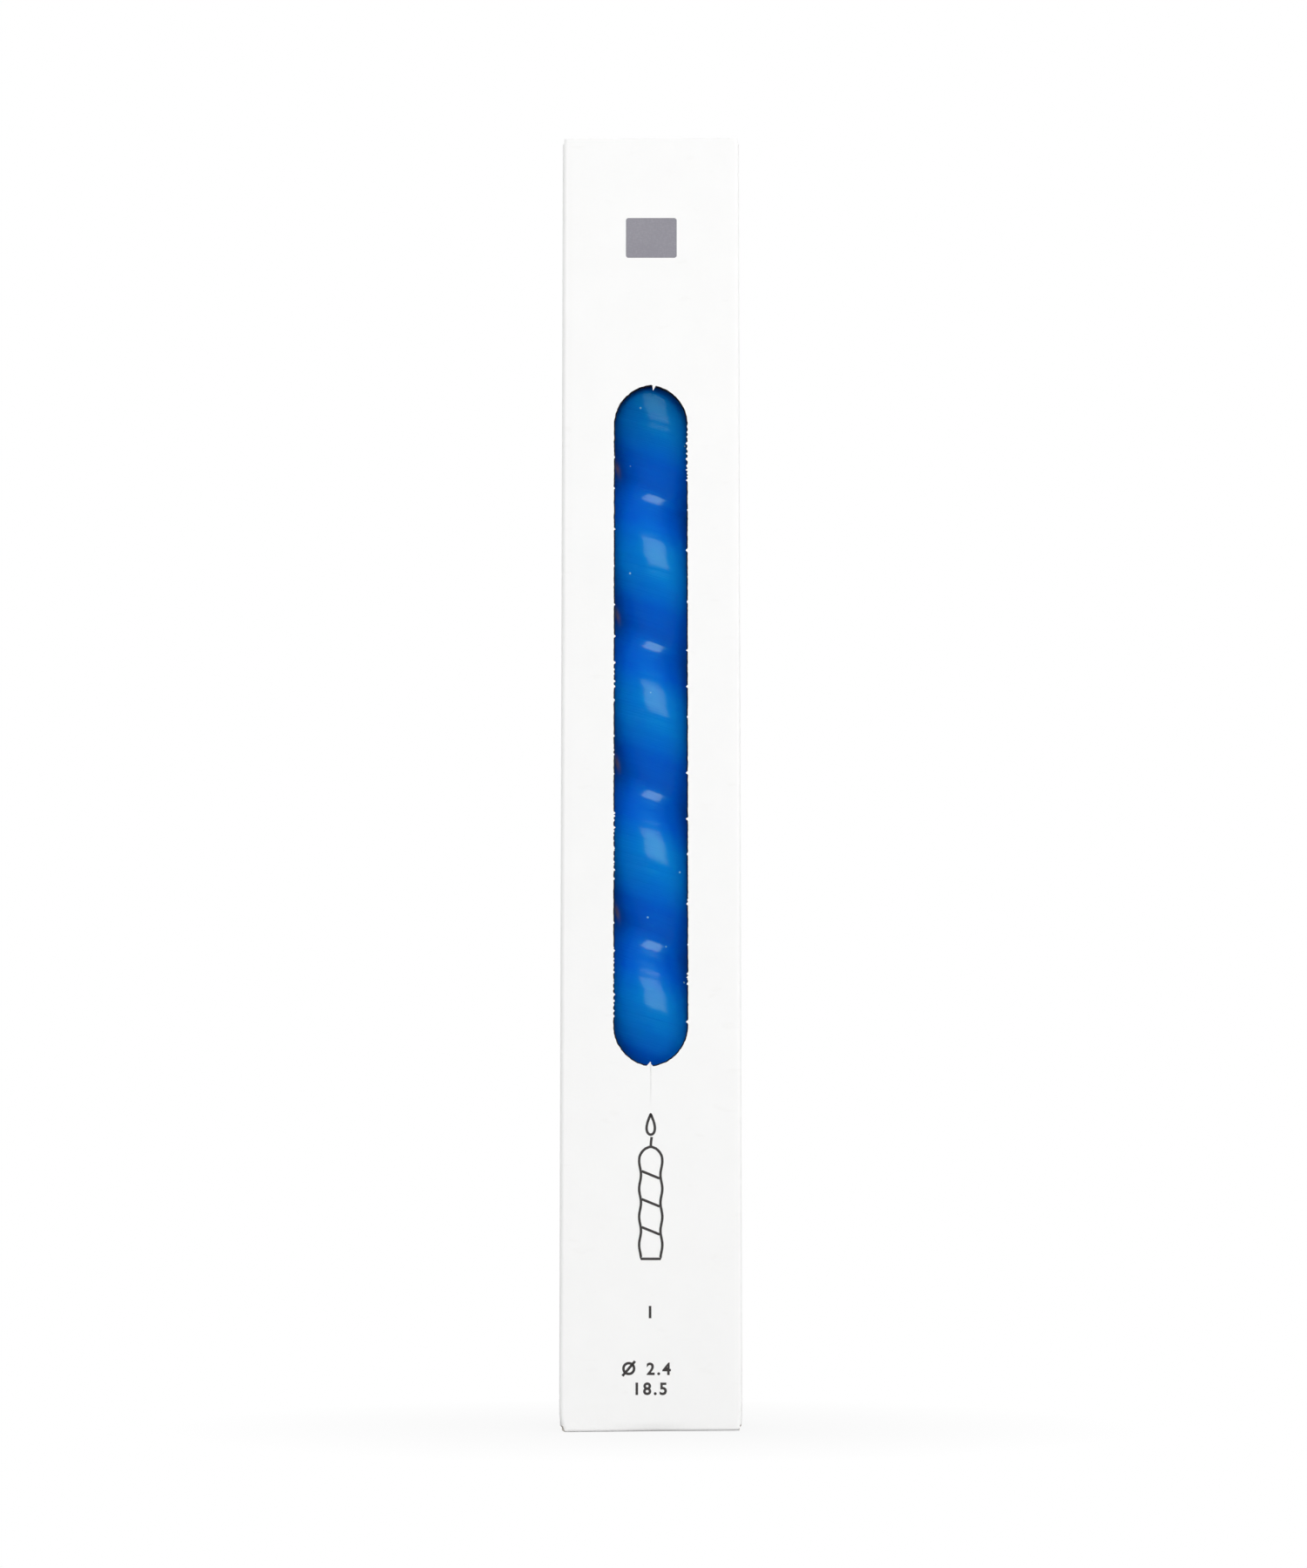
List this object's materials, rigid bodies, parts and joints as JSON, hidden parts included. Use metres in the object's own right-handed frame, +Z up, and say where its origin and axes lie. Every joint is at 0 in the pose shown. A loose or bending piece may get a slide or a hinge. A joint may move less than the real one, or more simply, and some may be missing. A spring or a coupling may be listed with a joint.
{
  "type": "boxed spiral candle",
  "caption": "Slim upright folding carton with a long round-ended window that shows a candle with a left-handed spiral groove; lids and flaps turn on creases.",
  "frame": {"origin": "middle of the carton's base, on the surface that it stands on", "axes": "+Z up the candle, -Y out of the window, +X to the right seen from the front"},
  "size_m": [0.0274, 0.0274, 0.1994],
  "materials": {
    "white_board": "matte",
    "brown_board": "matte",
    "seam_glue": "satin",
    "blue_wax": "satin",
    "cotton_wick": "matte"
  },
  "bodies": {
    "carton": {"front_panel": "white_board", "back_panel": "white_board", "left_side_panel": "white_board", "right_side_panel": "white_board", "glue_flap": "brown_board", "seam_glue": "seam_glue"},
    "top_lid": {"top_lid": "white_board"},
    "top_tuck": {"top_tuck_tongue": "white_board"},
    "top_left_dust": {"top_left_dust_flap": "white_board"},
    "top_right_dust": {"top_right_dust_flap": "white_board"},
    "bottom_lid": {"bottom_lid": "white_board"},
    "bottom_tuck": {"bottom_tuck_tongue": "white_board"},
    "bottom_left_dust": {"bottom_left_dust_flap": "white_board"},
    "bottom_right_dust": {"bottom_right_dust_flap": "white_board"},
    "candle": {"wax_body": "blue_wax", "wick": "cotton_wick"}
  },
  "joints": [
    {"name": "top_lid_hinge", "type": "hinge", "parent": "carton", "child": "top_lid", "pos_m": [0, 0.01355, 0.1992], "axis": [-1, 0, 0], "range_deg": [0, 180]},
    {"name": "top_tuck_hinge", "type": "hinge", "parent": "top_lid", "child": "top_tuck", "pos_m": [0, -0.01255, 0.1992], "axis": [-1, 0, 0], "range_deg": [0, 36]},
    {"name": "top_left_dust_hinge", "type": "hinge", "parent": "carton", "child": "top_left_dust", "pos_m": [-0.01355, 0, 0.19875], "axis": [0, -1, 0], "range_deg": [0, 135]},
    {"name": "top_right_dust_hinge", "type": "hinge", "parent": "carton", "child": "top_right_dust", "pos_m": [0.01355, 0, 0.19875], "axis": [0, 1, 0], "range_deg": [0, 135]},
    {"name": "bottom_lid_hinge", "type": "hinge", "parent": "carton", "child": "bottom_lid", "pos_m": [0, -0.01355, 0.0002], "axis": [-1, 0, 0], "range_deg": [0, 180]},
    {"name": "bottom_tuck_hinge", "type": "hinge", "parent": "bottom_lid", "child": "bottom_tuck", "pos_m": [0, 0.01255, 0.0002], "axis": [-1, 0, 0], "range_deg": [0, 36]},
    {"name": "bottom_left_dust_hinge", "type": "hinge", "parent": "carton", "child": "bottom_left_dust", "pos_m": [-0.01355, 0, 0.00065], "axis": [0, 1, 0], "range_deg": [0, 135]},
    {"name": "bottom_right_dust_hinge", "type": "hinge", "parent": "carton", "child": "bottom_right_dust", "pos_m": [0.01355, 0, 0.00065], "axis": [0, -1, 0], "range_deg": [0, 135]},
    {"name": "candle_turn", "type": "hinge", "parent": "carton", "child": "candle", "pos_m": [0.00023, -0.00088, 0.1], "axis": [0, 0, 1], "continuous": true}
  ],
  "couplings": [
    {"joint": "top_tuck_hinge", "follows": "top_lid_hinge", "ratio": 0.2},
    {"joint": "top_left_dust_hinge", "follows": "top_lid_hinge", "ratio": 0.75},
    {"joint": "top_right_dust_hinge", "follows": "top_lid_hinge", "ratio": 0.75},
    {"joint": "bottom_tuck_hinge", "follows": "bottom_lid_hinge", "ratio": 0.2},
    {"joint": "bottom_left_dust_hinge", "follows": "bottom_lid_hinge", "ratio": 0.75},
    {"joint": "bottom_right_dust_hinge", "follows": "bottom_lid_hinge", "ratio": 0.75}
  ]
}
